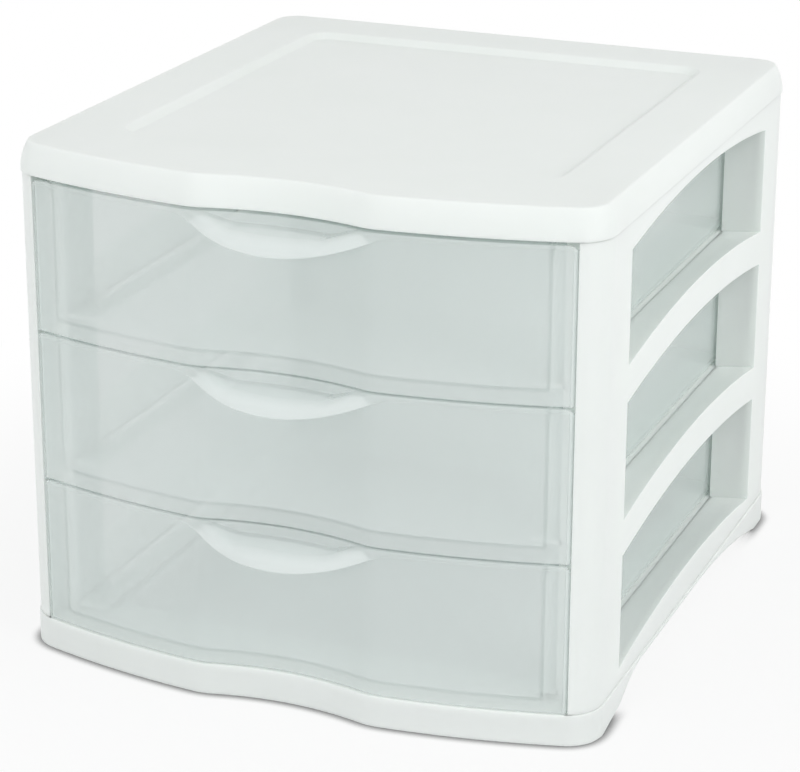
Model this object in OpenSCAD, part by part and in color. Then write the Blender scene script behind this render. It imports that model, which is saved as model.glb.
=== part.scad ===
// Stackable three-drawer box: a white moulded frame and three frosted drawers.
// Millimetres. X to the right, Y to the back, Z up. The front faces -Y.
// The origin is on the floor, in the middle of the object's box.
// Inside the modules Y is counted from the two front ridges.

/* [Frame] */
// Overall width of the frame
unit_w = 320; // [300:2:360]
// Depth of the frame, from the front ridges to the back
unit_d = 352; // [330:2:400]
// Height of one drawer bay
bay_h = 82; // [74:0.5:96]
// Height of the base band at the front
base_h = 17; // [17:0.5:24]
// Height of the top cap, from its lower edge to its rim
cap_h = 16; // [14:0.5:22]
// Wall of the frame mouldings
frame_wall = 2.5; // [2:0.1:3]
// Radius of the frame's front corners
corner_r = 20; // [17:1:24]
// Radius of the frame's rear corners
rear_r = 18; // [12:1:22]
// How far the side panels stand behind the faces of the cap and the base
panel_step = 0.8; // [0.4:0.1:1.2]
// Clearance where one frame moulding slips into another
fit_gap = 0.3; // [0.2:0.05:0.5]

/* [Front curve] */
// Half the distance between the two front ridges
ridge_half = 46; // [42:0.5:52]
// Depth of the hollow between the ridges
scoop_depth = 7; // [5:0.5:9]
// Radius of the bowed wing beyond each ridge
wing_r = 476; // [400:4:560]
// Angle at which each wing leaves its ridge
wing_angle = 4; // [2:0.5:5]
// Radius that softens each ridge
ridge_r = 30; // [20:1:45]

/* [Cap] */
// How far the cap's rim lies in from its lower edge
cap_edge_in = 4.5; // [3:0.1:6]
// Depth of the tray pressed into the cap
tray_depth = 3.4; // [2:0.1:5]
// Width of the tray's sloping edge
tray_slope = 5; // [3:0.5:8]
// Radius of the tray's corners, at its rim
tray_r = 14; // [10:1:20]
// Distance from the side of the cap to the tray
tray_side = 39; // [30:1:50]
// Distance from the front ridges to the tray
tray_front = 62; // [50:1:80]
// Distance from the back of the cap to the tray
tray_back = 39; // [30:1:50]

/* [Side panels] */
// Distance from the front ridges to the rear edge of a front post
post_back = 63; // [58:0.5:70]
// Width of a rear column, from the windows to the back of the frame
column_w = 46; // [40:0.5:54]
// Depth of a window reveal, from the outside to the frame's inner faces
reveal = 24; // [22:0.5:28]
// Thickness of a rail between two windows
rail_h = 19.5; // [17:0.5:24]
// Drop of a rail's lower edge below its bay line, at its ends
rail_drop = 11.5; // [10:0.5:14]
// Drop of the top window's upper edge below the cap, at its ends
head_drop = 14.5; // [12:0.5:18]
// Rise of the rails' curved edges at the middle
rail_rise = 9.5; // [6:0.5:11]
// Height of a runner's top face above its bay line
runner_lift = 5.5; // [5:0.1:7]
// How far a window's lower edge stands above its sill
sill_lip = 0.4; // [0.2:0.1:0.8]
// How far a runner reaches in under the drawer
runner_lap = 16; // [10:1:24]
// Width of a front post's face beside the drawers
post_face = 13.3; // [12:0.1:15]
// Depth of the rebate in which the drawer fronts sit
rebate = 32; // [30:0.5:36]
// Width of the tongues that locate the side panels
tongue_w = 16; // [12:1:20]
// Height of the tongues
tongue_h = 6; // [4:0.5:7]
// Thickness of the tongues
tongue_t = 2; // [1.6:0.1:2.4]

/* [Base] */
// Width of the flange that the base stands on
foot_flange = 9; // [7:0.5:12]
// Height of the arch between the feet
foot_arch = 15.5; // [10:0.5:16]
// Length of a front foot behind the front ridges
foot_front = 66; // [60:1:80]
// Length of a rear foot
foot_rear = 31; // [25:1:50]
// Radius at the front end of the arch
arch_front_r = 60; // [45:1:80]
// Length of the curve at the front end of the arch
arch_front_run = 34; // [25:1:40]
// Radius at the rear end of the arch
arch_rear_r = 480; // [200:10:600]
// Width of the plate round the opening in the base
member_w = 42; // [36:1:60]
// Radius of the corners of the opening in the base
member_r = 14; // [8:1:24]

/* [Drawers] */
// Wall of a drawer
drawer_wall = 2; // [1.6:0.1:2.4]
// How far a drawer front stands behind the frame's front curve
front_in = 1; // [0.6:0.1:2]
// Gap above a drawer's rim
top_gap = 1.8; // [1.4:0.1:3]
// Gap under a drawer front
bottom_gap = 0.4; // [0.3:0.1:1]
// Gap between a drawer front and a post
side_gap = 0.5; // [0.4:0.1:1]
// Gap between a drawer's wall and the frame's inner faces
body_gap = 1.6; // [1.2:0.1:2.4]
// Running gap between a drawer and its runners
slide_gap = 0.3; // [0.2:0.1:0.6]
// Gap between the back of a drawer and the back panel
rear_gap = 20.9; // [14:0.1:50]
// Radius of a drawer's rear corners
drawer_r = 25; // [12:1:32]
// Height of the bead round a drawer's rim
bead_h = 4.5; // [3:0.5:6]
// How far the bead stands out of the drawer's wall
bead_out = 0.8; // [0.4:0.1:1]

/* [Pull] */
// How far the pull stands out in front of the ridges
pull_out = 16.5; // [14:0.5:20]
// Radius of the pull's nose, seen from above
nose_r = 80; // [70:1:95]
// Radius of the rounded nose, seen from the side
nose_roll = 8; // [6:0.5:9]
// Drop of the pull's shelf below the rim
shelf_drop = 4.7; // [3.5:0.1:6]
// Drop of the pull's lower edge below the rim, at the middle
lip_drop = 13.5; // [12:0.5:18]
// Radius of the pull's curved lower edge, seen from the front
lip_r = 143; // [110:1:200]

/* [Hidden] */
$fa = 3;
$fs = 0.8;
cut = 1;          // how far a cut runs past the face that it opens
arch_blend = 0.2; // how far the arch's end curves reach above its flat top
edge_steps = 4;   // bands in the cap's rounded side
sill_steps = 16;  // bands in a window sill

white = [0.93, 0.95, 0.94];
frosted = [0.80, 0.86, 0.86, 0.6];

// Levels and faces of the frame
half_w = unit_w / 2;
cap_z = base_h + 3 * bay_h;
unit_h = cap_z + cap_h;
inner_x = half_w - reveal;
post_x = half_w - post_face;
skin_x = half_w - panel_step - frame_wall / 2;
column_y = unit_d - column_w;
plate_y = unit_d - panel_step - frame_wall - fit_gap;
centre_y = (unit_d - pull_out) / 2;
edge_r = (cap_h ^ 2 + cap_edge_in ^ 2) / (2 * cap_edge_in);

// Curved edges of the rails
window_mid = (post_back + column_y) / 2;
window_half = (column_y - post_back) / 2;
rail_r = (window_half ^ 2 + rail_rise ^ 2) / (2 * rail_rise);
sill_end = rail_h - rail_drop;

// Centres of the arcs of the front curve, the corners and the softened ridges
wing_c = [ridge_half - wing_r * sin(wing_angle), wing_r * cos(wing_angle)];
scoop_r = (ridge_half ^ 2 + scoop_depth ^ 2) / (2 * scoop_depth);
scoop_c = [0, scoop_depth - scoop_r];
corner_x = half_w - corner_r;
corner_c = [corner_x, wing_c.y - sqrt((wing_r - corner_r) ^ 2 - (corner_x - wing_c.x) ^ 2)];
ridge_c = meet(wing_c, wing_r - ridge_r, scoop_c, scoop_r + ridge_r);
rear_c = [half_w - rear_r, unit_d - rear_r];

// Points where neighbouring arcs touch
ridge_in = scoop_c + (ridge_c - scoop_c) * scoop_r / (scoop_r + ridge_r);
ridge_out = wing_c + (ridge_c - wing_c) * wing_r / (wing_r - ridge_r);
wing_end = wing_c + (corner_c - wing_c) * wing_r / (wing_r - corner_r);

// Faces of a drawer, with heights measured from its bay line
rim_z = bay_h - top_gap;
floor_z = runner_lift + slide_gap;
body_x = inner_x - body_gap;
drawer_end = plate_y - frame_wall - rear_gap;
front_x = post_x - side_gap;

// The point on the +X side where two circles meet
function meet(c1, r1, c2, r2) =
    let (d = norm(c2 - c1), u = (c2 - c1) / d, a = (r1 ^ 2 - r2 ^ 2 + d ^ 2) / (2 * d),
         h = sqrt(r1 ^ 2 - a ^ 2), p = c1 + a * u, q = h * [-u.y, u.x])
    (p + q).x > (p - q).x ? p + q : p - q;

// Direction from c to p
function turn(c, p) = atan2(p.y - c.y, p.x - c.x);

// Points of an arc about c, without its first point
function arc(c, r, from, to, steps) =
    [for (i = [1:steps]) let (a = from + (to - from) * i / steps) c + r * [cos(a), sin(a)]];

// Points of the right half of the frame's outline, drawn in by inset all round
function half_outline(inset) = concat(
    arc(scoop_c, scoop_r + inset, 90, turn(scoop_c, ridge_in), 6),
    arc(ridge_c, ridge_r - inset, turn(ridge_c, ridge_in), turn(ridge_c, ridge_out), 4),
    arc(wing_c, wing_r - inset, turn(wing_c, ridge_out), turn(wing_c, wing_end), 8),
    arc(corner_c, corner_r - inset, turn(corner_c, wing_end), 0, 8),
    [[rear_c.x + rear_r - inset, rear_c.y]],
    arc(rear_c, rear_r - inset, 0, 90, 8));

// Points of the whole outline at height z, counterclockwise from the middle of the front
function outline(inset, z) =
    let (half = half_outline(inset), last = len(half) - 1)
    concat([[0, scoop_depth + inset, z]],
           [for (p = half) [p.x, p.y, z]],
           [for (i = [last:-1:0]) [-half[i].x, half[i].y, z]]);

// How far the cap's side leans in at a height above its lower edge
function lean(h) = h <= 0 ? 0 : edge_r - sqrt(edge_r ^ 2 - h ^ 2);

// Height of an arched edge at y, where its ends are at end_z
function arched(y, end_z) = end_z + rail_rise - rail_r + sqrt(rail_r ^ 2 - (y - window_mid) ^ 2);

// A closed solid through rings of points, each counterclockwise seen from the last ring
module loft(rings) {
    n = len(rings[0]);
    last = len(rings) - 1;
    sides = [for (k = [0:last - 1]) for (i = [0:n - 1]) let (j = (i + 1) % n)
             each [[k * n + i, k * n + n + i, k * n + n + j], [k * n + i, k * n + n + j, k * n + j]]];
    ends = [[for (i = [0:n - 1]) i], [for (i = [n - 1:-1:0]) last * n + i]];
    polyhedron([for (ring = rings) each ring], concat(sides, ends));
}

module at(p) translate([p.x, p.y]) children();

module slab(x0, x1, y0, y1) translate([x0, y0]) square([x1 - x0, y1 - y0]);

module box(x0, x1, y0, y1, z0, z1) translate([x0, y0, z0]) cube([x1 - x0, y1 - y0, z1 - z0]);

module lift(z0, z1) translate([0, 0, z0]) linear_extrude(z1 - z0) children();

// Extrudes a shape drawn in Y and Z along X
module across(x0, x1) translate([x0, 0, 0]) rotate([90, 0, 90]) linear_extrude(x1 - x0) children();

module both_sides() {
    children();
    mirror([1, 0, 0]) children();
}

// Moves the work from the ridges' Y to the part's own origin
module placed() translate([0, -centre_y, 0]) children();

module rounded(x0, x1, y0, y1, r) {
    slab(x0, x1, y0 + r, y1 - r);
    slab(x0 + r, x1 - r, y0, y1);
    for (x = [x0 + r, x1 - r], y = [y0 + r, y1 - r]) at([x, y]) circle(r);
}

// The right half of the frame's outline, drawn in by inset all round
module half_plan(inset) {
    difference() {
        intersection() {
            at(wing_c) circle(wing_r - inset);
            slab(0, half_w - inset, -unit_d, unit_d - inset);
        }
        at(scoop_c) circle(scoop_r + inset);
        difference() {
            slab(ridge_in.x, ridge_out.x, -unit_d, ridge_c.y);
            at(ridge_c) circle(ridge_r - inset);
        }
        difference() {
            slab(wing_end.x, half_w, -unit_d, corner_c.y);
            at(corner_c) circle(corner_r - inset);
        }
        difference() {
            slab(rear_c.x, half_w, rear_c.y, unit_d);
            at(rear_c) circle(rear_r - inset);
        }
    }
}

module plan(inset) {
    half_plan(inset);
    mirror([1, 0]) half_plan(inset);
}

// The cap's shell: down its inner face, across its lower edge and up its outer face
module cap_shell() {
    inner_h = cap_h - frame_wall;
    loft(concat(
        [for (k = [edge_steps:-1:0]) let (h = inner_h * k / edge_steps)
            outline(frame_wall + lean(h), cap_z + h)],
        [for (k = [0:edge_steps]) let (h = cap_h * k / edge_steps) outline(lean(h), cap_z + h)]));
}

// The tray's cut, from its floor up past the cap's top face
module tray_cut() {
    spread = tray_slope / tray_depth;
    hull() for (x = [-1, 1], y = [tray_front + tray_r, unit_d - tray_back - tray_r])
        translate([x * (half_w - tray_side - tray_r), y, unit_h - tray_depth])
            cylinder(h = tray_depth + cut, r1 = tray_r - tray_slope, r2 = tray_r + cut * spread, $fn = 48);
}

// The wall under the tray
module tray_pan() {
    lift(unit_h - tray_depth - frame_wall, unit_h - frame_wall / 2)
        rounded(tray_side - half_w, half_w - tray_side, tray_front, unit_d - tray_back, tray_r);
}

module top_cap() {
    color(white) placed() difference() {
        union() {
            cap_shell();
            tray_pan();
        }
        tray_cut();
    }
}

// The arch between the feet, drawn in Y and Z. Its ends rise to just above its flat top.
module arch() {
    front = foot_front + arch_front_run;
    rear = unit_d - foot_rear - sqrt(arch_rear_r ^ 2 - (arch_rear_r - foot_arch) ^ 2);
    slab(front, rear, -cut, foot_arch);
    intersection() {
        slab(foot_front, front, -cut, foot_arch);
        at([front, foot_arch + arch_blend - arch_front_r]) circle(arch_front_r);
    }
    intersection() {
        slab(rear, unit_d - foot_rear, -cut, foot_arch);
        at([rear, foot_arch + arch_blend - arch_rear_r]) circle(arch_rear_r);
    }
}

module base() {
    open_x = half_w - member_w;
    color(white) placed() difference() {
        union() {
            lift(0, base_h) difference() {
                plan(0);
                plan(frame_wall);
            }
            lift(0, frame_wall) difference() {
                plan(frame_wall / 2);
                plan(foot_flange);
            }
            lift(base_h - frame_wall, base_h) difference() {
                plan(frame_wall / 2);
                rounded(-open_x, open_x, scoop_depth + member_w, unit_d - member_w, member_r);
            }
        }
        both_sides() across(half_w - foot_flange - cut, half_w + cut) arch();
        both_sides() for (y = tongue_places())
            box(tongue_x() - tongue_t - fit_gap, tongue_x() + fit_gap, y - fit_gap,
                y + tongue_w + fit_gap, base_h - tongue_h, base_h + cut);
    }
}

// Front ends of the tongues: one in the front post and one in the rear column
function tongue_places() = [rebate + 2 * frame_wall, column_y + 2 * frame_wall];

// Outer face of the tongues, clear of the cap's leaning wall
function tongue_x() = half_w - frame_wall - lean(tongue_h) - fit_gap;

// Walls of the front post and the rear column, seen from above
module panel_walls() {
    intersection() {
        half_plan(panel_step);
        union() {
            difference() {
                slab(inner_x, half_w, rear_c.y - unit_d, unit_d);
                half_plan(panel_step + frame_wall);
                slab(0, post_x, -cut, post_back);
            }
            slab(post_x, post_x + frame_wall, 0, rebate + frame_wall);
            slab(inner_x, post_x + frame_wall, rebate, rebate + frame_wall);
            slab(inner_x, inner_x + frame_wall, rebate, post_back);
            slab(inner_x, skin_x, post_back - frame_wall, post_back);
            slab(inner_x, skin_x, column_y, column_y + frame_wall);
            slab(inner_x, inner_x + frame_wall, column_y, plate_y - frame_wall - fit_gap);
        }
    }
}

// A window, drawn in Y and Z, from its sill's ends to its upper edge's ends
module window(sill_z, head_z) {
    difference() {
        intersection() {
            slab(post_back, column_y, sill_z, head_z + rail_rise);
            at([window_mid, head_z + rail_rise - rail_r]) circle(rail_r);
        }
        at([window_mid, sill_z + rail_rise - rail_r]) circle(rail_r);
    }
}

// The sloping sill between a window's curved lower edge and the straight runner
module sill(bay_z) {
    y0 = post_back - frame_wall / 2;
    y1 = column_y + frame_wall / 2;
    run = skin_x - inner_x;
    root_x = inner_x - frame_wall / 2;
    loft([for (i = [0:sill_steps]) let (y = y0 + (y1 - y0) * i / sill_steps,
              out_z = arched(y, bay_z + sill_end) - sill_lip, in_z = bay_z + runner_lift,
              root_z = in_z - (out_z - in_z) * (inner_x - root_x) / run)
          [[root_x, y, root_z], [skin_x, y, out_z],
           [skin_x, y, out_z - frame_wall], [root_x, y, root_z - frame_wall]]]);
}

// The level ledge that carries one side of a drawer
module runner(bay_z) {
    box(inner_x - runner_lap, inner_x + frame_wall / 2, rebate, plate_y - frame_wall - fit_gap,
        bay_z + runner_lift - frame_wall, bay_z + runner_lift);
}

// A tongue across the seam at z, with its pad on the panel's side
module tongue(y, z, pad) {
    box(tongue_x() - tongue_t, tongue_x(), y, y + tongue_w, z - tongue_h + fit_gap, z + tongue_h);
    box(tongue_x() - tongue_t, skin_x, y, y + tongue_w, min(z, z + pad), max(z, z + pad));
}

module side_panel() {
    difference() {
        lift(base_h, cap_z) panel_walls();
        for (bay = [0:2]) let (z = base_h + bay * bay_h)
            across(skin_x - frame_wall, half_w)
                window(z + sill_end, z + bay_h - (bay == 2 ? head_drop : rail_drop));
    }
    for (bay = [0:2]) let (z = base_h + bay * bay_h) {
        sill(z);
        runner(z);
    }
    for (y = tongue_places()) {
        tongue(y, base_h, tongue_h);
        tongue(y, cap_z, -tongue_h);
    }
}

module right_side_panel() {
    color(white) placed() side_panel();
}

module left_side_panel() {
    color(white) placed() mirror([1, 0, 0]) side_panel();
}

module back_panel() {
    edge_x = half_w - rear_r - fit_gap;
    color(white) placed()
        box(-edge_x, edge_x, plate_y - frame_wall, plate_y, base_h, cap_z + tongue_h);
}

// A drawer's outline from above, grown by out and drawn in by wall
module drawer_plan(out) {
    intersection() {
        plan(front_in - min(out, 0));
        rounded(-body_x - out, body_x + out, -drawer_r - pull_out, drawer_end + out, drawer_r + out);
    }
}

// The drawer's front, a curved strip that reaches past the drawer's walls
module front_strip() {
    intersection() {
        difference() {
            plan(front_in);
            plan(front_in + drawer_wall);
        }
        slab(-front_x, front_x, -cut, rebate);
    }
}

// The returns behind the ends of the front, which stop against the frame
module front_returns() {
    intersection() {
        plan(front_in + drawer_wall / 2);
        for (side = [-1, 1])
            at([side * (front_x - drawer_wall / 2), 0])
                slab(-drawer_wall / 2, drawer_wall / 2, 0, rebate - fit_gap);
    }
}

// Section of the pull from the centre of its nose outwards. Its lower edge is cut at zero later.
module pull_section() {
    shelf_z = lip_drop - shelf_drop;
    roll_x = nose_r - nose_roll;
    roll_z = shelf_z - nose_roll;
    difference() {
        union() {
            slab(0, roll_x, 0, shelf_z);
            slab(0, nose_r, -nose_roll, roll_z);
            at([roll_x, roll_z]) circle(nose_roll);
        }
        slab(0, roll_x, -nose_roll - cut, shelf_z - drawer_wall);
        slab(0, nose_r - drawer_wall, -nose_roll - cut, roll_z);
        at([roll_x, roll_z]) circle(nose_roll - drawer_wall);
    }
}

// The pull: a shelf with a rounded nose and a curved lower edge
module pull() {
    nose_y = nose_r - pull_out;
    intersection() {
        difference() {
            translate([0, nose_y, rim_z - lip_drop]) rotate_extrude() pull_section();
            lift(0, bay_h) plan(front_in + drawer_wall / 2);
            box(-nose_r - cut, nose_r + cut, rebate, nose_y + nose_r + cut, 0, bay_h);
        }
        translate([0, rebate, rim_z - lip_drop + lip_r]) rotate([90, 0, 0])
            cylinder(h = rebate + pull_out + cut, r = lip_r);
    }
}

module drawer(bay) {
    color(frosted) placed() translate([0, 0, base_h + bay * bay_h]) {
        lift(bottom_gap, rim_z) {
            front_strip();
            front_returns();
        }
        lift(floor_z, floor_z + drawer_wall) drawer_plan(0);
        lift(floor_z, rim_z) difference() {
            drawer_plan(0);
            drawer_plan(-drawer_wall);
        }
        lift(rim_z - bead_h, rim_z) difference() {
            drawer_plan(bead_out);
            drawer_plan(-drawer_wall / 2);
        }
        pull();
    }
}

module top_drawer() drawer(2);

module middle_drawer() drawer(1);

module bottom_drawer() drawer(0);

top_cap();
base();
left_side_panel();
right_side_panel();
back_panel();
top_drawer();
middle_drawer();
bottom_drawer();
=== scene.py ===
"""Stackable three-drawer box: a white moulded frame that holds three frosted drawers.

Metres, +Z up, the front faces -Y and the origin is on the floor in the middle of the box.
Every piece is drawn as rings or a grid of points that follow the frame's front curve, then
given its wall, its rounded edges and its finish.
"""
import math

import bpy
from mathutils import Matrix, Vector


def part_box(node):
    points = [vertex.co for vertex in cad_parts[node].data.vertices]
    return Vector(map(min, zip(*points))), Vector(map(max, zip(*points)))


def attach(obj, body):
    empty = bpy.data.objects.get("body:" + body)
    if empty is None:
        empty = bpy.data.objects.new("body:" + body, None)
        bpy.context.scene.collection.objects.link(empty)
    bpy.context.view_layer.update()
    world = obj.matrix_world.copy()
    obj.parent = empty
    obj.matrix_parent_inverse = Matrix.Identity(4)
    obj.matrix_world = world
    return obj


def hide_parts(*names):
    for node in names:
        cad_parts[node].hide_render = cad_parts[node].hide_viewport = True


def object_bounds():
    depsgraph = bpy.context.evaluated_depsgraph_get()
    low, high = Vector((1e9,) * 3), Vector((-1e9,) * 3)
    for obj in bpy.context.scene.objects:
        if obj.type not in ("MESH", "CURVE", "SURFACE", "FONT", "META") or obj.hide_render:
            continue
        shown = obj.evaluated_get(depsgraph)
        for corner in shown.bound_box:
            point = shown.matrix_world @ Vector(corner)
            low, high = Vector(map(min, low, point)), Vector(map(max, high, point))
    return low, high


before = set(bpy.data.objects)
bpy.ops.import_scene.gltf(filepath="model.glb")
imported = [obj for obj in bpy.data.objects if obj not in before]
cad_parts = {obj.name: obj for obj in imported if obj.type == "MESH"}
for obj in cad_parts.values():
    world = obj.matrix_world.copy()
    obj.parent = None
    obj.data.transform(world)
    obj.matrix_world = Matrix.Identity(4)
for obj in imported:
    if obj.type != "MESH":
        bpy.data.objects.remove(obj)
cad_low, cad_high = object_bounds()

# Overall sizes, read from the frame
HALF_W = cad_high.x
BACK_Y = cad_high.y
UNIT_H = cad_high.z
BASE_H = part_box("base")[1].z
CAP_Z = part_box("top_cap")[0].z
CAP_H = UNIT_H - CAP_Z
BAY_H = (CAP_Z - BASE_H) / 3
PULL_OUT = 0.0165
RIDGE_Y = cad_low.y + PULL_OUT
DRAWERS = ("bottom_drawer", "middle_drawer", "top_drawer")

# Front curve: a hollow between two ridges, and a bowed wing beyond each ridge
RIDGE_HALF = 0.046
SCOOP_DEPTH = 0.007
WING_R = 0.476
WING_ANGLE = math.radians(4)
RIDGE_R = 0.030
CORNER_R = 0.020
REAR_R = 0.018

# Frame mouldings
WALL = 0.0025
PANEL_STEP = 0.0008
FIT_GAP = 0.0003
EDGE_SOFT = 0.0007
CAP_EDGE_IN = 0.0045
CAP_CREASE = 0.0009
TRAY_DEPTH = 0.0034
TRAY_SLOPE = 0.005
TRAY_R = 0.014
TRAY_SIDE = 0.039
TRAY_FRONT = 0.062
TRAY_BACK = 0.039
POST_BACK = 0.063
COLUMN_W = 0.046
REVEAL = 0.024
RAIL_H = 0.0195
RAIL_DROP = 0.0115
HEAD_DROP = 0.0145
RAIL_RISE = 0.0095
RUNNER_LIFT = 0.0055
RUNNER_LAP = 0.016
POST_FACE = 0.0133
REBATE = 0.032
TONGUE_W = 0.016
TONGUE_H = 0.006
TONGUE_T = 0.002
FOOT_FLANGE = 0.009
FOOT_ARCH = 0.0155
FOOT_FRONT = 0.066
FOOT_REAR = 0.031
ARCH_FRONT_R = 0.060
ARCH_FRONT_RUN = 0.034
ARCH_REAR_R = 0.480
MEMBER_W = 0.042
MEMBER_R = 0.014
BASE_WALL = 0.0014

# Drawers
DRAWER_WALL = 0.002
FRONT_IN = 0.001
TOP_GAP = 0.0018
BOTTOM_GAP = 0.0004
FRONT_LOWER = 0.0011
SIDE_GAP = 0.0005
BODY_GAP = 0.0016
SLIDE_GAP = 0.0003
REAR_GAP = 0.0209
DRAWER_R = 0.012
FLOOR_R = 0.0025
BEAD_H = 0.0045
BEAD_OUT = 0.0008
LIP_SOFT = 0.0005
FRONT_TOP_R = 0.0035
FRONT_END_R = 0.002
RIM_BAND_H = 0.0022
RIM_BAND_OUT = 0.0008

# Pull
NOSE_R = 0.080
NOSE_ROLL = 0.008
SHELF_DROP = 0.0047
SHELF_FROM = 0.043
SHELF_RUN = 0.020
LIP_DROP = 0.0135
LIP_R = 0.143
PULL_BLEND = 0.064
HOLLOW_RUN = 0.004
FACE_RUN = 0.004

# Floor: the reach and the whiteness of a painted shadow round the feet, and its share of bare white
# near the object
PAINTED_SHADOW_REACH = 0.008
PAINTED_SHADOW_WHITE = 0.2
SHADE_SHARE = 0.86
SHADE_FROM = 0.2
SHADE_TO = 0.5
FLOOR_COLOUR = (0.80, 0.81, 0.81, 1)
FLOOR_REACH = 6

# Light: the sky, and each lamp's azimuth, elevation, distance, width and height, and power
SKY_COLOUR = (0.975, 1.0, 0.985, 1)
SKY_STRENGTH = 0.485
LAMPS = {
    "key": (76, 36, 2.6, (1.8, 1.8), 33),
    "front": (-18, 12, 2.8, (1.6, 1.2), 20),
    "side": (-85, 42, 2.0, (1.6, 0.5), 5),
}

# Camera, as fitted to the photograph
VIEW_AZIMUTH = math.radians(22.42)
VIEW_ELEVATION = math.radians(19.13)
VIEW_ROLL = math.radians(0.20)
VIEW_TARGET = Vector((-0.00164, -0.00885, 0.1551))
VIEW_DISTANCE = 1.4656
VIEW_LENS = 120.79
VIEW_SHIFT = -0.07

# Finishes: two tones, the span of roughness, and the size and height of the grain
PLASTIC_IOR = 1.49
WHITE_TONES = ((0.86, 0.895, 0.87), (0.885, 0.915, 0.895))
WHITE_GLOSS = (0.36, 0.46)
WHITE_GRAIN = (0.0009, 0.00004)
FROSTED_TONES = ((0.94, 0.98, 0.975), (0.955, 0.99, 0.985))
FROSTED_GLOSS = (0.10, 0.16)
FROSTED_GRAIN = (0.0012, 0.00001)
FROSTED_ALPHA = 0.33

# Points closer than this are in one place
NEAR = 1e-6

# Places that follow from the sizes
INNER_X = HALF_W - REVEAL
POST_X = HALF_W - POST_FACE
SKIN_X = HALF_W - PANEL_STEP
POST_Y = RIDGE_Y + POST_BACK
COLUMN_Y = BACK_Y - COLUMN_W
REBATE_Y = RIDGE_Y + REBATE
PLATE_Y = BACK_Y - PANEL_STEP - WALL - FIT_GAP
WINDOW_MID = (POST_Y + COLUMN_Y) / 2
RAIL_R = (((COLUMN_Y - POST_Y) / 2) ** 2 + RAIL_RISE ** 2) / (2 * RAIL_RISE)
EDGE_R = (CAP_H ** 2 + CAP_EDGE_IN ** 2) / (2 * CAP_EDGE_IN)
BODY_X = INNER_X - BODY_GAP
FRONT_X = POST_X - SIDE_GAP
RIM_Z = BAY_H - TOP_GAP
FLOOR_Z = RUNNER_LIFT + SLIDE_GAP
DRAWER_END = PLATE_Y - WALL - REAR_GAP
SCOOP_R = (RIDGE_HALF ** 2 + SCOOP_DEPTH ** 2) / (2 * SCOOP_DEPTH)
SCOOP_C = Vector((0, RIDGE_Y + SCOOP_DEPTH - SCOOP_R))
WING_C = Vector((RIDGE_HALF - WING_R * math.sin(WING_ANGLE),
                 RIDGE_Y + WING_R * math.cos(WING_ANGLE)))
CORNER_X = HALF_W - CORNER_R
CORNER_C = Vector((CORNER_X,
                   WING_C.y - math.sqrt((WING_R - CORNER_R) ** 2 - (CORNER_X - WING_C.x) ** 2)))
REAR_C = Vector((HALF_W - REAR_R, BACK_Y - REAR_R))


def meet(c1, r1, c2, r2):
    """The point on the +X side where two circles meet."""
    gap = (c2 - c1).length
    along = (c2 - c1) / gap
    run = (r1 ** 2 - r2 ** 2 + gap ** 2) / (2 * gap)
    rise = math.sqrt(r1 ** 2 - run ** 2)
    across = Vector((-along.y, along.x)) * rise
    return max((c1 + along * run + across, c1 + along * run - across), key=lambda p: p.x)


RIDGE_C = meet(WING_C, WING_R - RIDGE_R, SCOOP_C, SCOOP_R + RIDGE_R)
RIDGE_IN = (SCOOP_C - RIDGE_C).normalized()
RIDGE_OUT = (RIDGE_C - WING_C).normalized()
WING_END = (CORNER_C - WING_C).normalized()


def front_y(x, inset):
    """Y of the frame's front curve at x, drawn in by inset."""
    x = abs(x)
    if x < RIDGE_C.x + (RIDGE_R - inset) * RIDGE_IN.x:
        return SCOOP_C.y + math.sqrt((SCOOP_R + inset) ** 2 - x ** 2)
    if x < RIDGE_C.x + (RIDGE_R - inset) * RIDGE_OUT.x:
        return RIDGE_C.y - math.sqrt((RIDGE_R - inset) ** 2 - (x - RIDGE_C.x) ** 2)
    if x < CORNER_C.x + (CORNER_R - inset) * WING_END.x:
        return WING_C.y - math.sqrt((WING_R - inset) ** 2 - (x - WING_C.x) ** 2)
    return CORNER_C.y - math.sqrt(max((CORNER_R - inset) ** 2 - (x - CORNER_C.x) ** 2, 0))


def arc(centre, radius, start, end, steps):
    """Points of an arc, without its first one."""
    turns = [start + (end - start) * i / steps for i in range(1, steps + 1)]
    return [Vector((centre.x + radius * math.cos(a), centre.y + radius * math.sin(a)))
            for a in turns]


def turn(direction):
    return math.atan2(direction.y, direction.x)


def spread(start, end, steps):
    """Evenly spaced values from start to end."""
    return [start + (end - start) * i / steps for i in range(steps + 1)]


def ease(value):
    """0 below 0, 1 above 1, and a smooth rise between."""
    value = min(max(value, 0), 1)
    return value * value * (3 - 2 * value)


def soft_max(a, b, blend):
    """The larger of two values, rounded where they cross."""
    return (a + b + math.sqrt((a - b) ** 2 + blend ** 2)) / 2


def soft_min(a, b, blend):
    return (a + b - math.sqrt((a - b) ** 2 + blend ** 2)) / 2


def mirrored(half):
    """A closed outline from the points of its right half, counterclockwise from the middle."""
    return half + [Vector((-p.x, p.y)) for p in reversed(half) if abs(p.x) > NEAR]


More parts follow.
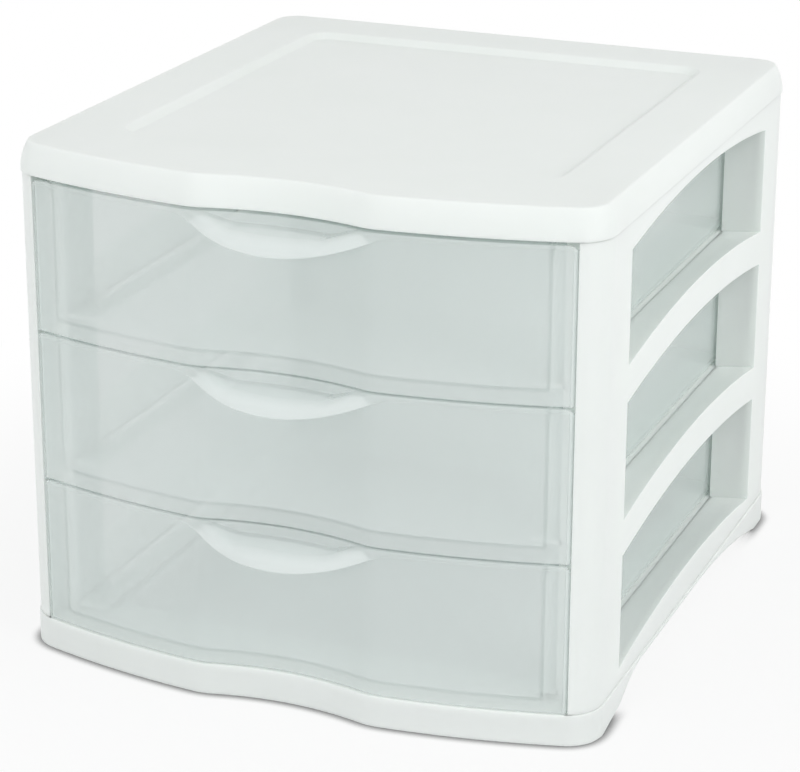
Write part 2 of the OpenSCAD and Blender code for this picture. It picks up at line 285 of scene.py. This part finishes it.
def half_outline(inset, side_stops):
    """The right half of the frame's outline, from the middle of the front to that of the back."""
    corner_from = turn(WING_END)
    points = [Vector((0, SCOOP_C.y + SCOOP_R + inset))]
    points += arc(SCOOP_C, SCOOP_R + inset, math.pi / 2, turn(-RIDGE_IN), 14)
    points += arc(RIDGE_C, RIDGE_R - inset, turn(RIDGE_IN), turn(RIDGE_OUT), 8)
    points += arc(WING_C, WING_R - inset, turn(RIDGE_OUT), corner_from, 24)
    points += arc(CORNER_C, CORNER_R - inset, corner_from, 0, 14)
    points += [Vector((HALF_W - inset, y)) for y in side_stops]
    points += [Vector((HALF_W - inset, REAR_C.y))]
    points += arc(REAR_C, REAR_R - inset, 0, math.pi / 2, 14)
    return points + [Vector((x, BACK_Y - inset)) for x in spread(REAR_C.x, 0, 10)[1:]]


def outline(inset):
    return mirrored(half_outline(inset, spread(CORNER_C.y, REAR_C.y, 24)[1:-1]))


def at_height(points, z):
    return [Vector((p.x, p.y, z)) for p in points]


def drawn_in(points, x, y0, y1, radius, grown=0):
    """The nearest points to an outline's on a rounded rectangle inside it, grown all round."""
    drawn = []
    for p in points:
        core = Vector((min(max(p.x, radius - x), x - radius),
                       min(max(p.y, y0 + radius), y1 - radius)))
        drawn.append(core + (p - core).normalized() * (radius + grown))
    return drawn


def softened(path, reach, steps=4):
    """A path of (distance, height) points with its sharp corners rounded."""
    points = [Vector(p) for p in path]
    soft = [points[0]]
    for before, corner, after in zip(points, points[1:], points[2:]):
        back, ahead = before - corner, after - corner
        if back.angle(-ahead) < 0.3:
            soft.append(corner)
            continue
        start = corner + back.normalized() * min(reach, back.length * 0.45)
        end = corner + ahead.normalized() * min(reach, ahead.length * 0.45)
        for t in spread(0, 1, steps):
            soft.append(start * (1 - t) ** 2 + corner * 2 * t * (1 - t) + end * t ** 2)
    return soft + [points[-1]]


# Modelling steps

def deselect():
    bpy.ops.object.select_all(action="DESELECT")


def edit(piece, mode="VERT"):
    deselect()
    piece.select_set(True)
    bpy.context.view_layer.objects.active = piece
    bpy.ops.object.mode_set(mode="EDIT")
    bpy.ops.mesh.select_mode(type=mode)


def leave():
    bpy.ops.object.mode_set(mode="OBJECT")


def place(piece, points, first=0):
    for vertex, point in zip(piece.data.vertices[first:first + len(points)], points):
        vertex.co = point


def loft(name, rings, ends=True):
    """A skin through rings of points: the first ring is drawn, and extruded to each next one."""
    deselect()
    count = len(rings[0])
    bpy.ops.mesh.primitive_circle_add(vertices=count)
    piece = bpy.context.object
    piece.name = piece.data.name = name
    place(piece, rings[0])
    if ends:
        edit(piece)
        bpy.ops.mesh.select_all(action="SELECT")
        bpy.ops.mesh.edge_face_add()
        leave()
    piece.data.vertices.foreach_set("select", [True] * count)
    for step, ring in enumerate(rings[1:], 1):
        edit(piece, "EDGE")
        if step == 1:
            bpy.ops.mesh.select_all(action="DESELECT")
            leave()
            for edge in piece.data.edges:
                edge.select = True
            edit(piece, "EDGE")
        bpy.ops.mesh.extrude_edges_move()
        leave()
        place(piece, ring, step * count)
    if ends:
        edit(piece, "EDGE")
        bpy.ops.mesh.edge_face_add()
        leave()
    return piece


def grid(name, columns, rows, place_at):
    """A grid whose points are put in place by column and row."""
    deselect()
    bpy.ops.mesh.primitive_grid_add(x_subdivisions=columns - 1, y_subdivisions=rows - 1)
    piece = bpy.context.object
    piece.name = piece.data.name = name
    place(piece, [place_at(i % columns, i // columns) for i in range(columns * rows)])
    return piece


def bar(name, low, high, soft=EDGE_SOFT):
    """A square bar between two corners, with softened edges."""
    deselect()
    bpy.ops.mesh.primitive_cube_add(size=1)
    piece = bpy.context.object
    piece.name = piece.data.name = name
    size = [b - a for a, b in zip(low, high)]
    for vertex in piece.data.vertices:
        vertex.co = Vector([a + s * (c + 0.5) for a, s, c in zip(low, size, vertex.co)])
    round_edges(piece, soft)
    return piece


def modify(piece, kind, **settings):
    deselect()
    piece.select_set(True)
    bpy.context.view_layer.objects.active = piece
    bpy.ops.object.modifier_add(type=kind)
    modifier = piece.modifiers[-1]
    for key, value in settings.items():
        setattr(modifier, key, value)
    bpy.ops.object.modifier_apply(modifier=modifier.name)


def thicken(piece, wall):
    modify(piece, "SOLIDIFY", thickness=wall, offset=-1, use_even_offset=True)


def round_edges(piece, width, segments=3, angle=32):
    modify(piece, "BEVEL", width=width, segments=segments, limit_method="ANGLE",
           angle_limit=math.radians(angle), use_clamp_overlap=True)


def clean(piece, distance=2e-5, outward=True):
    edit(piece)
    bpy.ops.mesh.select_all(action="SELECT")
    bpy.ops.mesh.remove_doubles(threshold=distance)
    if outward:
        bpy.ops.mesh.normals_make_consistent(inside=False)
    leave()


def join(pieces, name):
    deselect()
    for piece in pieces:
        piece.select_set(True)
    bpy.context.view_layer.objects.active = pieces[0]
    bpy.ops.object.join()
    pieces[0].name = pieces[0].data.name = name
    return pieces[0]


def smooth(piece, angle=40):
    deselect()
    piece.select_set(True)
    bpy.context.view_layer.objects.active = piece
    bpy.ops.object.shade_smooth_by_angle(angle=math.radians(angle))
    modify(piece, "WEIGHTED_NORMAL", keep_sharp=True, weight=50)


def dress(piece, material, body, nodes):
    piece.data.materials.clear()
    piece.data.materials.append(material)
    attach(piece, body)
    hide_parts(*nodes)
    return piece


# Materials

def new_material(name):
    material = bpy.data.materials.new(name)
    material.use_nodes = True
    nodes, links = material.node_tree.nodes, material.node_tree.links
    return material, nodes, links, nodes["Principled BSDF"]


def add_grain(nodes, links, shader, tones, gloss, grain_size, grain_height):
    """Faint mottling of the colour and gloss, and the fine grain of a moulded surface."""
    where = nodes.new("ShaderNodeTexCoord")
    cloud = nodes.new("ShaderNodeTexNoise")
    cloud.inputs["Scale"].default_value = 14
    cloud.inputs["Detail"].default_value = 3
    links.new(where.outputs["Object"], cloud.inputs["Vector"])
    tint = nodes.new("ShaderNodeValToRGB")
    tint.color_ramp.elements[0].position = 0.3
    tint.color_ramp.elements[1].position = 0.7
    for element, tone in zip(tint.color_ramp.elements, tones):
        element.color = (*tone, 1)
    links.new(cloud.outputs["Fac"], tint.inputs["Fac"])
    links.new(tint.outputs["Color"], shader.inputs["Base Color"])
    satin = nodes.new("ShaderNodeMapRange")
    satin.inputs["To Min"].default_value = gloss[0]
    satin.inputs["To Max"].default_value = gloss[1]
    links.new(cloud.outputs["Fac"], satin.inputs["Value"])
    links.new(satin.outputs["Result"], shader.inputs["Roughness"])
    grain = nodes.new("ShaderNodeTexNoise")
    grain.inputs["Scale"].default_value = 1 / grain_size
    grain.inputs["Detail"].default_value = 2
    links.new(where.outputs["Object"], grain.inputs["Vector"])
    bump = nodes.new("ShaderNodeBump")
    bump.inputs["Strength"].default_value = 0.25
    bump.inputs["Distance"].default_value = grain_height
    links.new(grain.outputs["Fac"], bump.inputs["Height"])
    links.new(bump.outputs["Normal"], shader.inputs["Normal"])


def white_plastic():
    """Opaque satin polypropylene, a cool white."""
    material, nodes, links, shader = new_material("white_plastic")
    shader.inputs["IOR"].default_value = PLASTIC_IOR
    shader.inputs["Specular IOR Level"].default_value = 0.5
    shader.inputs["Subsurface Weight"].default_value = 0.7
    shader.inputs["Subsurface Radius"].default_value = (1.0, 1.0, 0.97)
    shader.inputs["Subsurface Scale"].default_value = 0.004
    add_grain(nodes, links, shader, WHITE_TONES, WHITE_GLOSS, *WHITE_GRAIN)
    return material


def frosted_plastic():
    """Milky see-through polypropylene."""
    material, nodes, links, shader = new_material("frosted_plastic")
    shader.inputs["IOR"].default_value = PLASTIC_IOR
    shader.inputs["Alpha"].default_value = FROSTED_ALPHA
    shader.inputs["Specular IOR Level"].default_value = 0.5
    add_grain(nodes, links, shader, FROSTED_TONES, FROSTED_GLOSS, *FROSTED_GRAIN)
    return material


# Frame pieces

def lean(height):
    """How far the cap's side leans in at a height above its lower edge."""
    return EDGE_R - math.sqrt(EDGE_R ** 2 - height ** 2)


def top_cap(material):
    """The cap's closed shell, from under the tray round its lower edge to the tray's floor."""
    tray = (HALF_W - TRAY_SIDE, RIDGE_Y + TRAY_FRONT, BACK_Y - TRAY_BACK, TRAY_R)
    flat = 0.004
    inner_h = CAP_H - WALL
    floor_z = UNIT_H - TRAY_DEPTH
    rings = []

    def side_rings(path):
        for inset, z in softened(path, CAP_CREASE):
            rings.append(at_height(outline(inset), z))

    def tray_rings(path):
        edge = outline(lean(CAP_H))
        for grown, z in softened(path, CAP_CREASE):
            rings.append(at_height(drawn_in(edge, *tray, grown), z))

    tray_rings([(-flat, floor_z - WALL), (0, floor_z - WALL), (0, UNIT_H - WALL),
                (flat, UNIT_H - WALL)])
    inside = [(WALL + lean(h), CAP_Z + h) for h in spread(inner_h, 0, 6)]
    outside = [(lean(h), CAP_Z + h) for h in spread(0, CAP_H, 10)]
    side_rings([(inside[0][0] + flat, UNIT_H - WALL)] + inside + outside
               + [(outside[-1][0] + flat, UNIT_H)])
    tray_rings([(flat, UNIT_H), (0, UNIT_H), (-TRAY_SLOPE, floor_z), (-TRAY_SLOPE - flat, floor_z)])
    piece = loft("cap_moulding", rings)
    clean(piece, 1e-5)
    smooth(piece)
    return dress(piece, material, "frame", ["top_cap"])


def arch_z(y):
    """Height of the arch between the feet."""
    front = RIDGE_Y + FOOT_FRONT
    rear = BACK_Y - FOOT_REAR
    rear_run = math.sqrt(ARCH_REAR_R ** 2 - (ARCH_REAR_R - FOOT_ARCH) ** 2)
    if not front < y < rear:
        return 0
    if y < front + ARCH_FRONT_RUN:
        run = front + ARCH_FRONT_RUN - y
        return max(FOOT_ARCH - ARCH_FRONT_R + math.sqrt(ARCH_FRONT_R ** 2 - run ** 2), 0)
    if y > rear - rear_run:
        run = y - rear + rear_run
        return max(FOOT_ARCH - ARCH_REAR_R + math.sqrt(ARCH_REAR_R ** 2 - run ** 2), 0)
    return FOOT_ARCH


def arch_stops():
    """Places along the side at which the base has points, closer together along the curves."""
    front, rear = RIDGE_Y + FOOT_FRONT, BACK_Y - FOOT_REAR
    stops = [front] + spread(front + 0.0003, front + ARCH_FRONT_RUN, 12)
    return stops + spread(front + ARCH_FRONT_RUN, rear - 0.0003, 32)[1:] + [rear]


def base(material):
    """The base's closed ring: its plate, its wall and the flange that it stands on."""
    opening = (HALF_W - MEMBER_W, RIDGE_Y + SCOOP_DEPTH + MEMBER_W, BACK_Y - MEMBER_W, MEMBER_R)
    stops = arch_stops()
    outer = mirrored(half_outline(0, stops))
    arch = [arch_z(p.y) if abs(p.x) > HALF_W - NEAR else 0 for p in outer]
    rings = []

    def wall_rings(path, arch_inset=None):
        for inset, z in path:
            plan = mirrored(half_outline(inset, stops))
            if arch_inset is not None:
                clear = mirrored(half_outline(arch_inset, stops))
                plan = [b if rise > 0 else a for a, b, rise in zip(plan, clear, arch)]
            rings.append([Vector((p.x, p.y, max(z, rise))) for p, rise in zip(plan, arch)])

    def plate_ring(grown, z):
        rings.append(at_height(drawn_in(outer, *opening, grown), z))

    plate_ring(0, BASE_H - WALL)
    plate_ring(0, BASE_H - EDGE_SOFT)
    plate_ring(EDGE_SOFT, BASE_H)
    wall_rings(softened([(0.004, BASE_H), (0, BASE_H), (0, BASE_H / 2)], EDGE_SOFT))
    low = EDGE_SOFT / 2
    wall_rings([(0, low)])
    rings[-1] = [Vector((p.x, p.y, max(low, rise + low * (rise > 0))))
                 for p, rise in zip(rings[-1], arch)]
    wall_rings([(low, 0)])
    wall_rings([(FOOT_FLANGE, 0), (FOOT_FLANGE, WALL), (BASE_WALL, WALL)], BASE_WALL)
    wall_rings([(BASE_WALL, BASE_H - WALL)])
    rings.append(rings[0])
    piece = loft("base_moulding", rings, ends=False)
    clean(piece)
    smooth(piece)
    return dress(piece, material, "frame", ["base"])


def arched(y, end_z):
    """Height of an arched edge at y, where its ends are at end_z."""
    return end_z + RAIL_RISE - RAIL_R + math.sqrt(RAIL_R ** 2 - (y - WINDOW_MID) ** 2)


def panel_path():
    """Plan points of the right panel's skin, from the post's inner wall round to the back."""
    radius = CORNER_R - PANEL_STEP
    start = -math.acos((POST_X - CORNER_C.x) / radius)
    face_y = CORNER_C.y + radius * math.sin(start)
    path = [Vector((INNER_X, POST_Y)), Vector((INNER_X, REBATE_Y)), Vector((POST_X, REBATE_Y)),
            Vector((POST_X, face_y))]
    path += arc(CORNER_C, radius, start, 0, 14)
    path += [Vector((SKIN_X, y)) for y in spread(POST_Y, COLUMN_Y, 36)]
    path += [Vector((SKIN_X, REAR_C.y))] + arc(REAR_C, REAR_R - PANEL_STEP, 0, math.pi / 2, 12)
    return path + [Vector((INNER_X, BACK_Y - PANEL_STEP))]


def bay_line(bay):
    return BASE_H + bay * BAY_H


def window_rows():
    """Heights of the panel's rows at the windows' ends: below and above each window."""
    rows = [BASE_H]
    for bay in range(3):
        drop = HEAD_DROP if bay == 2 else RAIL_DROP
        rows += [bay_line(bay) + RAIL_H - RAIL_DROP, bay_line(bay + 1) - drop]
    return rows + [CAP_Z]


def panel_skin():
    path, rows = panel_path(), window_rows()

    def point(column, row):
        p, z = path[column], rows[row]
        over_window = POST_Y - NEAR < p.y < COLUMN_Y + NEAR and p.x > INNER_X + NEAR
        if column == 0 and 0 < row < len(rows) - 1 and row % 2:
            z = bay_line(row // 2) + RUNNER_LIFT
        elif over_window and 0 < row < len(rows) - 1:
            z = arched(p.y, z)
        return Vector((p.x, p.y, z))

    skin = grid("skin", len(path), len(rows), point)
    open_windows(skin)
    return skin


def open_windows(skin):
    """Cuts the windows and folds their lower and upright edges in to the frame's inner faces."""
    edit(skin, "FACE")
    bpy.ops.mesh.select_all(action="DESELECT")
    leave()
    rows = window_rows()
    for polygon in skin.data.polygons:
        c = polygon.center
        in_window = any(arched(c.y, rows[2 * bay + 1]) < c.z < arched(c.y, rows[2 * bay + 2])
                        for bay in range(3))
        polygon.select = c.x > SKIN_X - NEAR and POST_Y < c.y < COLUMN_Y and in_window
    edit(skin, "FACE")
    bpy.ops.mesh.delete(type="FACE")
    leave()
    for bay in range(3):
        fold_in(skin, bay, rows[2 * bay + 1], rows[2 * bay + 2])
    clean(skin, outward=False)


def fold_in(skin, bay, sill_z, head_z):
    edit(skin, "EDGE")
    bpy.ops.mesh.select_all(action="DESELECT")
    leave()
    points = [v.co for v in skin.data.vertices]
    for edge in skin.data.edges:
        a, b = (points[i] for i in edge.vertices)
        on_skin = min(a.x, b.x) > SKIN_X - NEAR
        if not on_skin or min(a.y, b.y) < POST_Y - NEAR or max(a.y, b.y) > COLUMN_Y + NEAR:
            continue
        sill = all(abs(p.z - arched(p.y, sill_z)) < NEAR for p in (a, b))
        jamb = abs(a.y - b.y) < NEAR and abs(abs(a.z - b.z) - (head_z - sill_z)) < NEAR
        at_end = min(abs(a.y - POST_Y), abs(a.y - COLUMN_Y)) < NEAR
        between = sill_z - NEAR < min(a.z, b.z) and max(a.z, b.z) < head_z + NEAR
        edge.select = sill or (jamb and at_end and between)
    edit(skin, "EDGE")
    bpy.ops.mesh.extrude_edges_move()
    leave()
    for vertex in skin.data.vertices:
        if vertex.select:
            vertex.co.x = INNER_X
            if abs(vertex.co.z - head_z) > NEAR:
                vertex.co.z = bay_line(bay) + RUNNER_LIFT


def side_panel(side, material):
    """side is 1 for the right panel and -1 for the left one."""
    skin = panel_skin()
    thicken(skin, WALL)
    round_edges(skin, EDGE_SOFT)
    parts = [skin]
    rear = PLATE_Y - WALL - FIT_GAP
    # The column starts inside the jamb's wall, so that no two faces lie in one plane
    column_start = COLUMN_Y + 0.96 * WALL
    column = grid("column", 2, 2, lambda i, j: Vector(
        (INNER_X, (rear, column_start)[i], (BASE_H, CAP_Z)[j])))
    thicken(column, WALL)
    round_edges(column, EDGE_SOFT / 2)
    parts.append(column)
    for bay in range(3):
        top = bay_line(bay) + RUNNER_LIFT
        parts.append(bar("runner", (INNER_X - RUNNER_LAP, REBATE_Y, top - WALL),
                         (INNER_X + WALL / 2, rear, top)))
    outer = HALF_W - WALL - lean(TONGUE_H) - FIT_GAP
    for y in (REBATE_Y + 2 * WALL, COLUMN_Y + 2 * WALL):
        for z in (BASE_H, CAP_Z):
            parts.append(bar("tongue", (outer - TONGUE_T, y, z - TONGUE_H + FIT_GAP),
                             (outer, y + TONGUE_W, z + TONGUE_H), EDGE_SOFT / 2))
    piece = join(parts, "right_side_moulding" if side > 0 else "left_side_moulding")
    if side < 0:
        for vertex in piece.data.vertices:
            vertex.co.x *= -1
        edit(piece, "FACE")
        bpy.ops.mesh.select_all(action="SELECT")
        bpy.ops.mesh.flip_normals()
        leave()
    smooth(piece)
    node = "right_side_panel" if side > 0 else "left_side_panel"
    return dress(piece, material, "frame", [node])


def back_panel(material):
    low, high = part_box("back_panel")
    piece = bar("back_plate", low, high)
    smooth(piece)
    return dress(piece, material, "frame", ["back_panel"])


# Drawers

def front_stations():
    """Plan points of a drawer front and their outward directions, from left to right."""
    end = FRONT_X - FRONT_END_R
    xs = spread(0, PULL_BLEND, 40) + spread(PULL_BLEND, end, 24)[1:]
    half = [Vector((x, front_y(x, FRONT_IN))) for x in xs]
    slope = turn(half[-1] - half[-2])
    centre = half[-1] + FRONT_END_R * Vector((-math.sin(slope), math.cos(slope)))
    radius = FRONT_X - centre.x
    half += arc(centre, radius, slope - math.pi / 2, 0, 8)
    half += [Vector((FRONT_X, y)) for y in spread(half[-1].y, REBATE_Y - FIT_GAP, 4)[1:]]
    points = [Vector((-p.x, p.y)) for p in reversed(half[1:])] + half
    outward = []
    for i in range(len(points)):
        along = points[min(i + 1, len(points) - 1)] - points[max(i - 1, 0)]
        outward.append(Vector((along.y, -along.x)).normalized())
    return points, outward


def pull_values(x, on_face):
    """The pull at x: how far it stands out, the drop of its lower edge and of its shelf."""
    nose = -1.0
    if abs(x) < NOSE_R:
        tip = RIDGE_Y - PULL_OUT + NOSE_R - math.sqrt(NOSE_R ** 2 - x ** 2)
        nose = front_y(x, FRONT_IN) - tip
    lip = LIP_DROP - LIP_R + math.sqrt(max(LIP_R ** 2 - x ** 2, 0))
    out = soft_max(nose, RIM_BAND_OUT, 0.002) * on_face
    drop = soft_max(lip, RIM_BAND_H, 0.0015)
    shelf = SHELF_DROP * ease((SHELF_FROM - abs(x)) / SHELF_RUN)
    return out, drop, shelf


def front_section(x, on_face, top, bottom):
    """The drawer front's closed section at x, as distances outward and heights."""
    out, drop, shelf = pull_values(x, on_face)
    low, soft = top - drop, LIP_SOFT
    roll = soft_min(NOSE_ROLL, out, 0.001)
    roll_z = soft_min(NOSE_ROLL, drop - shelf - soft, 0.0005)
    hollow = ease((out - DRAWER_WALL) / HOLLOW_RUN)
    inside = max(out - DRAWER_WALL, 0)
    under = low + (top - shelf - DRAWER_WALL - low) * hollow
    root = soft * hollow
    crest = max(out - roll, 0)
    section = [(-DRAWER_WALL, bottom + soft), (-DRAWER_WALL + soft, bottom), (-soft, bottom),
               (0, bottom + soft), (0, under - root), (min(root, inside), under)]
    inner_roll = max(inside - crest, 0)
    inner_z = min(max(roll_z - DRAWER_WALL, 0), max(under - low - soft, 0))
    for k in range(5):
        a = math.pi / 2 * (1 - k / 4)
        section.append((inside - inner_roll * (1 - math.cos(a)),
                        under - inner_z * (1 - math.sin(a))))
    lip = 0.3 * (out - inside)
    section += [(inside, low + soft * hollow), (inside + lip, low), (out - lip, low)]
    for k in range(8):
        a = math.pi / 2 * k / 7
        section.append((crest + roll * math.cos(a), top - shelf - roll_z * (1 - math.sin(a))))
    edge = min(soft, shelf / 2)
    section += [(crest / 2, top - shelf), (min(edge, crest / 2), top - shelf),
                (0, top - shelf + edge), (0, top - edge), (-soft, top),
                (-DRAWER_WALL + soft, top), (-DRAWER_WALL, top - soft)]
    return section


def drawer_front(bay):
    points, outward = front_stations()
    base_z = bay_line(bay)
    bottom = base_z + (BOTTOM_GAP if bay == 0 else BOTTOM_GAP - FRONT_LOWER)
    rings = []
    for p, normal in zip(points, outward):
        on_face = ease((FRONT_X - abs(p.x)) / FACE_RUN)
        corner = max(abs(p.x) - (FRONT_X - FRONT_TOP_R), 0)
        dip = FRONT_TOP_R - math.sqrt(FRONT_TOP_R ** 2 - min(corner, FRONT_TOP_R) ** 2)
        top = base_z + RIM_Z - dip
        forward = ease((abs(p.x) - RIDGE_HALF) / (PULL_BLEND - RIDGE_HALF))
        ahead = (Vector((0, -1)) * (1 - forward) + normal * forward).normalized()
        ring = []
        for out, z in front_section(p.x, on_face, top, bottom):
            q = p + (ahead if out > 0 else normal) * out
            ring.append(Vector((q.x, q.y, z)))
        rings.append(ring)
    piece = loft("front", rings)
    clean(piece, 1e-5)
    return piece


def tub_ring(out, front_inset, z, front_z):
    """A ring of the drawer's tub, grown by out. Its front stretch lies in the front's wall."""
    x, rear = BODY_X + out, DRAWER_END + out
    radius = DRAWER_R + out
    corner = Vector((x - radius, rear - radius))
    half = [(Vector((s, front_y(s, front_inset))), front_z) for s in spread(0, x, 30)]
    side = [Vector((x, y)) for y in (half[-1][0].y + 0.002, corner.y)]
    side += arc(corner, radius, 0, math.pi / 2, 12) + [Vector((0, rear))]
    half += [(p, z) for p in side]
    full = half + [(Vector((-p.x, p.y)), h) for p, h in reversed(half) if abs(p.x) > NEAR]
    return [Vector((p.x, p.y, h)) for p, h in full]


def tub(bay):
    """The drawer's floor, walls and rim bead."""
    line = bay_line(bay)
    outer_in, inner_in = FRONT_IN + 0.0005, FRONT_IN + 0.0015
    top, floor = line + RIM_Z, line + FLOOR_Z
    rim, bead = top - 0.001, top - BEAD_H
    soft = LIP_SOFT
    rings = []

    def ring(out, inset, z, front_z=None):
        rings.append(tub_ring(out, inset, z, z if front_z is None else front_z))

    for k in range(7):
        a = math.pi / 2 * k / 6
        ring(FLOOR_R * (math.sin(a) - 1), outer_in, floor + FLOOR_R * (1 - math.cos(a)))
    ring(0, outer_in, bead - BEAD_OUT)
    ring(BEAD_OUT, outer_in, bead)
    ring(BEAD_OUT, outer_in, top - soft, rim - soft)
    ring(BEAD_OUT - soft, outer_in, top, rim)
    ring(-DRAWER_WALL + soft, inner_in, top, rim)
    ring(-DRAWER_WALL, inner_in, top - soft, rim - soft)
    inner_r = FLOOR_R - DRAWER_WALL
    for k in range(6, -1, -1):
        a = math.pi / 2 * k / 6
        ring(inner_r * (math.sin(a) - 1) - DRAWER_WALL, inner_in,
             floor + DRAWER_WALL + inner_r * (1 - math.cos(a)))
    piece = loft("tub", rings)
    clean(piece, NEAR)
    return piece


def drawer(bay, material):
    front, body = drawer_front(bay), tub(bay)
    modify(front, "BOOLEAN", object=body, operation="UNION", solver="EXACT")
    bpy.data.objects.remove(body)
    name = DRAWERS[bay]
    front.name = front.data.name = name + "_moulding"
    smooth(front, 35)
    return dress(front, material, name, [name])


# Studio

def seen_bare(nodes, links):
    """1 in reflections and where the camera sees a surface past no plastic, and 0 elsewhere."""
    path = nodes.new("ShaderNodeLightPath")
    through = nodes.new("ShaderNodeMath")
    through.operation = "LESS_THAN"
    through.inputs[1].default_value = 0.5
    links.new(path.outputs["Transparent Depth"], through.inputs[0])
    bare = nodes.new("ShaderNodeMath")
    bare.operation = "MULTIPLY"
    links.new(through.outputs["Value"], bare.inputs[0])
    links.new(path.outputs["Is Camera Ray"], bare.inputs[1])
    for ray in ("Is Glossy Ray", "Is Transmission Ray"):
        shown = nodes.new("ShaderNodeMath")
        shown.operation = "MAXIMUM"
        links.new(bare.outputs["Value"], shown.inputs[0])
        links.new(path.outputs[ray], shown.inputs[1])
        bare = shown
    return bare.outputs["Value"]


def floor_material():
    """A white floor that is seen nearly bare of shading, with a painted shadow where the feet
    stand: its glow darkens where the base is close.
    """
    material = bpy.data.materials.new("floor")
    material.use_nodes = True
    nodes, links = material.node_tree.nodes, material.node_tree.links
    nodes.remove(nodes["Principled BSDF"])

    def fade(value, start, end, low, high):
        node = nodes.new("ShaderNodeMapRange")
        node.interpolation_type = "SMOOTHSTEP"
        ends = {"From Min": start, "From Max": end, "To Min": low, "To Max": high}
        for name, number in ends.items():
            node.inputs[name].default_value = number
        links.new(value, node.inputs["Value"])
        return node.outputs["Result"]

    def combined(operation, first, second):
        node = nodes.new("ShaderNodeMath")
        node.operation = operation
        links.new(first, node.inputs[0])
        links.new(second, node.inputs[1])
        return node.outputs["Value"]

    where = nodes.new("ShaderNodeTexCoord")
    away = nodes.new("ShaderNodeVectorMath")
    away.operation = "LENGTH"
    links.new(where.outputs["Object"], away.inputs[0])
    open_floor = fade(away.outputs["Value"], SHADE_FROM, SHADE_TO, SHADE_SHARE, 1.0)
    # Painted shadow: the floor's glow is dimmed where ambient occlusion finds the base close by
    painted_shadow_ao = nodes.new("ShaderNodeAmbientOcclusion")
    painted_shadow_ao.inputs["Distance"].default_value = PAINTED_SHADOW_REACH
    painted_shadow_at_feet = fade(painted_shadow_ao.outputs["AO"], 0.45, 0.95, PAINTED_SHADOW_WHITE, 1.0)
    share = combined("MULTIPLY", open_floor, seen_bare(nodes, links))
    matt = nodes.new("ShaderNodeBsdfDiffuse")
    matt.inputs["Color"].default_value = FLOOR_COLOUR
    glow = nodes.new("ShaderNodeEmission")
    links.new(painted_shadow_at_feet, glow.inputs["Strength"])
    mix = nodes.new("ShaderNodeMixShader")
    links.new(share, mix.inputs["Fac"])
    links.new(matt.outputs["BSDF"], mix.inputs[1])
    links.new(glow.outputs["Emission"], mix.inputs[2])
    links.new(mix.outputs["Shader"], nodes["Material Output"].inputs["Surface"])
    return material


def studio_floor():
    deselect()
    bpy.ops.mesh.primitive_circle_add(vertices=96, radius=FLOOR_REACH, fill_type="NGON",
                                      location=(0, 0, 0))
    floor = bpy.context.object
    floor.name = "floor"
    floor.data.materials.append(floor_material())


def world_light(strength):
    world = bpy.data.worlds.new("studio")
    bpy.context.scene.world = world
    world.use_nodes = True
    nodes, links = world.node_tree.nodes, world.node_tree.links
    dome = nodes["Background"]
    dome.inputs["Color"].default_value = SKY_COLOUR
    dome.inputs["Strength"].default_value = strength
    bare = nodes.new("ShaderNodeBackground")
    bare.inputs["Color"].default_value = (1, 1, 1, 1)
    mix = nodes.new("ShaderNodeMixShader")
    links.new(seen_bare(nodes, links), mix.inputs["Fac"])
    links.new(dome.outputs["Background"], mix.inputs[1])
    links.new(bare.outputs["Background"], mix.inputs[2])
    links.new(mix.outputs["Shader"], nodes["World Output"].inputs["Surface"])


def light_paths():
    """Lets light pass through wall after wall of the drawers before it fades."""
    cycles = bpy.context.scene.cycles
    cycles.max_bounces = 16
    cycles.diffuse_bounces = 12
    cycles.transparent_max_bounces = 24


def direction_to(azimuth, elevation):
    """The direction from the object to a place round it. Azimuth 0 is in front."""
    return Vector((math.sin(azimuth) * math.cos(elevation),
                   -math.cos(azimuth) * math.cos(elevation), math.sin(elevation)))


def area_light(name, azimuth, elevation, distance, size, energy):
    """A soft light that looks at the object. Azimuth 0 is in front and 90 on the right."""
    back = direction_to(math.radians(azimuth), math.radians(elevation))
    data = bpy.data.lights.new(name, "AREA")
    data.shape = "RECTANGLE"
    data.size, data.size_y = size
    data.energy = energy
    light = bpy.data.objects.new(name, data)
    light.visible_glossy = False  # keeps its glare off the cap
    light.location = Vector((0, 0, UNIT_H / 2)) + back * distance
    light.rotation_euler = back.to_track_quat("Z", "Y").to_euler()
    bpy.context.collection.objects.link(light)


def camera():
    back = direction_to(VIEW_AZIMUTH, VIEW_ELEVATION)
    level = (-back).cross(Vector((0, 0, 1))).normalized()
    upright = level.cross(-back)
    right = math.cos(VIEW_ROLL) * level + math.sin(VIEW_ROLL) * upright
    up = math.cos(VIEW_ROLL) * upright - math.sin(VIEW_ROLL) * level
    data = bpy.data.cameras.new("camera")
    data.lens = VIEW_LENS
    data.sensor_width = 36
    data.shift_y = VIEW_SHIFT
    data.clip_end = 50
    view = bpy.data.objects.new("camera", data)
    turned = Matrix((right, up, back)).transposed().to_4x4()
    view.matrix_world = Matrix.Translation(VIEW_TARGET + back * VIEW_DISTANCE) @ turned
    bpy.context.collection.objects.link(view)
    bpy.context.scene.camera = view


camera()
bpy.context.scene.view_settings.view_transform = "Standard"
light_paths()
world_light(SKY_STRENGTH)
for name, setting in LAMPS.items():
    area_light(name, *setting)
studio_floor()

white = white_plastic()
frosted = frosted_plastic()
top_cap(white)
base(white)
side_panel(1, white)
side_panel(-1, white)
back_panel(white)
for number in range(3):
    drawer(number, frosted)
